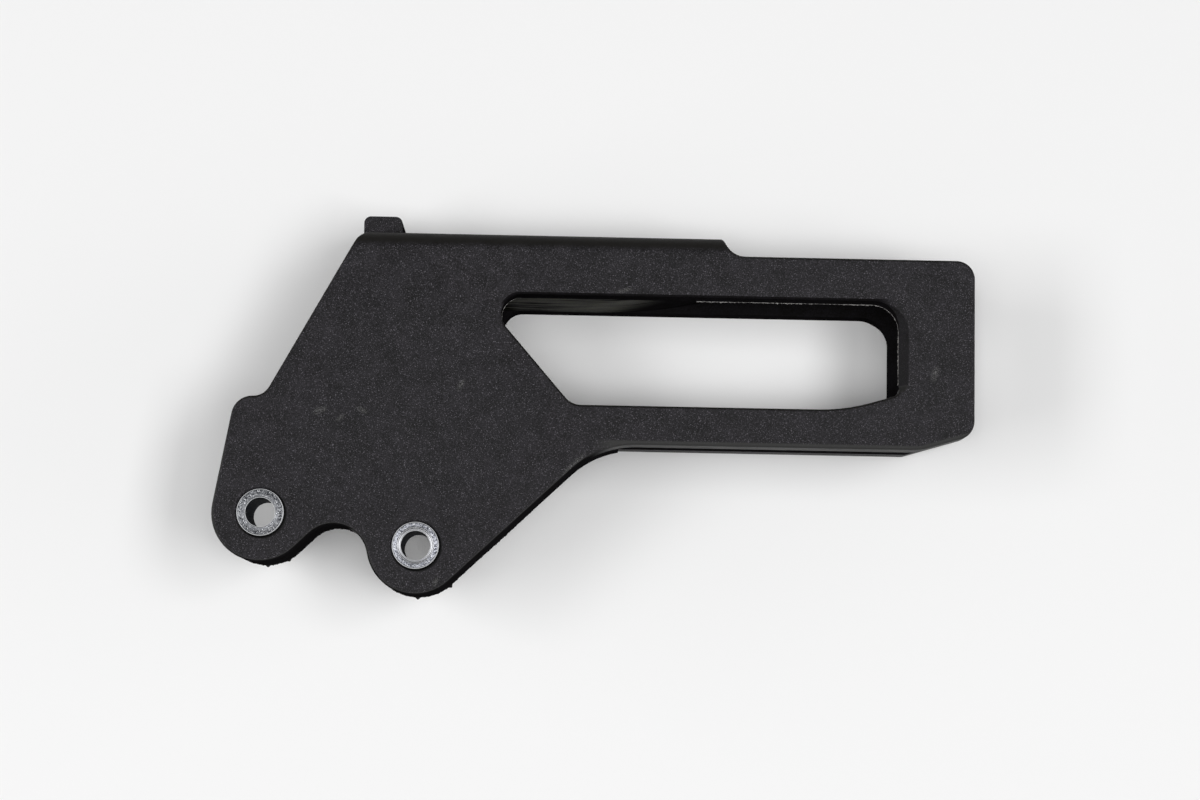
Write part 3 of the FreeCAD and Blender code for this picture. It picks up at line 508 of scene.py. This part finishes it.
def turned_steel(node, bright, dull, chamfer):
    """Zinc-plated steel with rings round the bush's own axis, bright flecks, dull patches and dark bore."""
    material, tree, surface, coordinates = new_material(f"plated_{node}")
    low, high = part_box(node)
    axis = ((low.x + high.x) / 2, (low.y + high.y) / 2, 0.0)
    centred = put(tree, "ShaderNodeMapping", {
        "Vector": coordinates["Object"], "Location": axis}, vector_type="TEXTURE").outputs[0]
    flat = put(tree, "ShaderNodeVectorMath", {
        0: centred, 1: (1.0, 1.0, 0.0)}, operation="MULTIPLY").outputs[0]
    radius = put(tree, "ShaderNodeVectorMath", {0: flat}, operation="LENGTH").outputs["Value"]
    rings = put(tree, "ShaderNodeTexNoise", {
        "W": calculate(tree, "MULTIPLY", radius, 1.0 / RING_PITCH), "Scale": 1.0, "Detail": 2.0,
    }, noise_dimensions="1D").outputs["Fac"]
    patches = put(tree, "ShaderNodeTexNoise", {
        "Vector": centred, "Scale": PATCHES_PER_METRE, "Detail": 6.0, "Roughness": 0.8}).outputs["Fac"]
    flecks = put(tree, "ShaderNodeTexNoise", {
        "Vector": centred, "Scale": FLECKS_PER_METRE, "Detail": 2.0, "Roughness": 0.6}).outputs["Fac"]
    colour = blend(tree, spread(tree, patches, 0.45, 0.55), bright, dull)
    # The chamfer's steel: near white on the rear bush, a painted highlight
    in_chamfer = spread(tree, radius, CHAMFER_RADIUS - 0.15 * MM, CHAMFER_RADIUS, 1.0, 0.0)
    ringed = calculate(tree, "MULTIPLY", in_chamfer, spread(tree, rings, 0.3, 0.5))
    colour = blend(tree, ringed, colour, chamfer)
    colour = blend(tree, spread(tree, flecks, 0.58, 0.66), colour, FLECK_COLOUR)
    # The outer rim and the bore's edge are painted bright, a painted highlight
    rim = spread(tree, radius, RIM_RADIUS, RIM_RADIUS + 0.1 * MM)
    at_bore = spread(tree, radius, BORE_RADIUS + 0.06 * MM, BORE_RADIUS + 0.20 * MM, 1.0, 0.0)
    edges = calculate(tree, "MAXIMUM", rim, at_bore)
    colour = blend(tree, edges, colour, EDGE_HIGHLIGHT_STEEL)
    facing = put(tree, "ShaderNodeSeparateXYZ", {0: coordinates["Normal"]}).outputs["Z"]
    wall = spread(tree, calculate(tree, "ABSOLUTE", facing), 0.2, 0.5, 1.0, 0.0)
    colour = blend(tree, calculate(tree, "MULTIPLY", at_bore, wall), colour, BORE_COLOUR)
    # Broken edges, the chamfer and the bore scatter light as worn plating does
    matte = calculate(tree, "MAXIMUM", edges, calculate(tree, "MULTIPLY", in_chamfer, CHAMFER_MATTE))
    worn = calculate(tree, "ADD", patches, calculate(tree, "MULTIPLY", rings, 0.3))
    rough = spread(tree, worn, 0.4, 0.95, 0.36, 0.58)
    height = calculate(tree, "ADD", rings, calculate(tree, "MULTIPLY", flecks, 0.1))
    bump = put(tree, "ShaderNodeBump", {"Strength": 0.7, "Distance": RING_DEPTH, "Height": height})
    tree.links.new(colour, surface.inputs["Base Color"])
    tree.links.new(rough, surface.inputs["Roughness"])
    tree.links.new(bump.outputs[0], surface.inputs["Normal"])
    tree.links.new(spread(tree, matte, 0.0, 1.0, 1.0, MATTE_METAL), surface.inputs["Metallic"])
    surface.inputs["Specular IOR Level"].default_value = 0.0
    return material


for bush_node, bush_colours in BUSH_COLOURS.items():
    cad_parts[bush_node].material_slots[0].material = turned_steel(bush_node, *bush_colours)

# Studio floor: a plain pale sheet with a matte surface.
# The guide lies on it with its wheel-side plate.
FLOOR_COLOUR = (0.90, 0.90, 0.90, 1.0)
FLOOR_ROUGHNESS = 0.9
FLOOR_HALF = 3.0
floor_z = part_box("guide_body")[0].z
floor_mesh = bpy.data.meshes.new("studio_floor")
floor_mesh.from_pydata(
    [(x, y, floor_z) for x, y in ((-FLOOR_HALF, -FLOOR_HALF), (FLOOR_HALF, -FLOOR_HALF),
                                  (FLOOR_HALF, FLOOR_HALF), (-FLOOR_HALF, FLOOR_HALF))],
    [], [(0, 1, 2, 3)])
studio_floor = bpy.data.objects.new("studio_floor", floor_mesh)
bpy.context.scene.collection.objects.link(studio_floor)
floor_material, _, floor_surface, _ = new_material("pale_sheet")
floor_surface.inputs["Base Color"].default_value = FLOOR_COLOUR
floor_surface.inputs["Roughness"].default_value = FLOOR_ROUGHNESS
floor_surface.inputs["Specular IOR Level"].default_value = 0.0
floor_mesh.materials.append(floor_material)

# Studio light: a dim pale room, three soft lamps to the left, to the right and overhead,
# and a wide panel standing on the floor at either side.
ROOM_LEVEL = 0.08
LAMP_AIM = Vector((0.07, 0.02, 0.0))
# Each lamp: its place, its power, its length and its width
LAMPS = {
    "left_lamp": (Vector((-0.62, -0.03, 0.80)), 3.45, 0.6, 0.3),
    "right_lamp": (Vector((0.54, -0.03, 0.95)), 4.45, 0.6, 0.3),
    "top_lamp": (Vector((0.05, -0.12, 1.05)), 3.35, 0.6, 0.3),
    "left_panel": (Vector((-1.13, 0.0, 0.31)), 4.5, 1.2, 0.6),
    "right_panel": (Vector((1.27, 0.0, 0.31)), 4.5, 1.2, 0.6),
}
room = bpy.data.worlds.new("pale_room")
room.use_nodes = True
room.node_tree.nodes["Background"].inputs["Color"].default_value = (1.0, 1.0, 1.0, 1.0)
room.node_tree.nodes["Background"].inputs["Strength"].default_value = ROOM_LEVEL
bpy.context.scene.world = room
for lamp_name, (place, power, length, width) in LAMPS.items():
    lamp = bpy.data.lights.new(lamp_name, "AREA")
    lamp.shape = "RECTANGLE"
    lamp.size, lamp.size_y = length, width
    lamp.energy = power
    lamp_object = bpy.data.objects.new(lamp_name, lamp)
    lamp_object.location = place
    lamp_object.rotation_euler = (LAMP_AIM - place).to_track_quat("-Z", "Y").to_euler()
    bpy.context.scene.collection.objects.link(lamp_object)

# Camera: almost straight above the guide, a little towards the bolts,
# with a long lens that flattens its depth.
EYE = (63.92 * MM, -37.72 * MM, 585.34 * MM)
TILT = [math.radians(angle) for angle in (6.325, -0.9445, 1.0353)]
IMAGE_WIDTH = 1200
FOCAL_PIXELS = 2664.0
SENSOR_WIDTH = 36.0
NEAREST_SEEN = 0.01
camera = bpy.data.cameras.new("camera")
camera.sensor_width = SENSOR_WIDTH
camera.lens = FOCAL_PIXELS / IMAGE_WIDTH * SENSOR_WIDTH
camera.clip_start = NEAREST_SEEN
camera_object = bpy.data.objects.new("camera", camera)
camera_object.location = EYE
camera_object.rotation_euler = TILT
bpy.context.scene.collection.objects.link(camera_object)
bpy.context.scene.camera = camera_object
bpy.context.scene.view_settings.view_transform = "Standard"
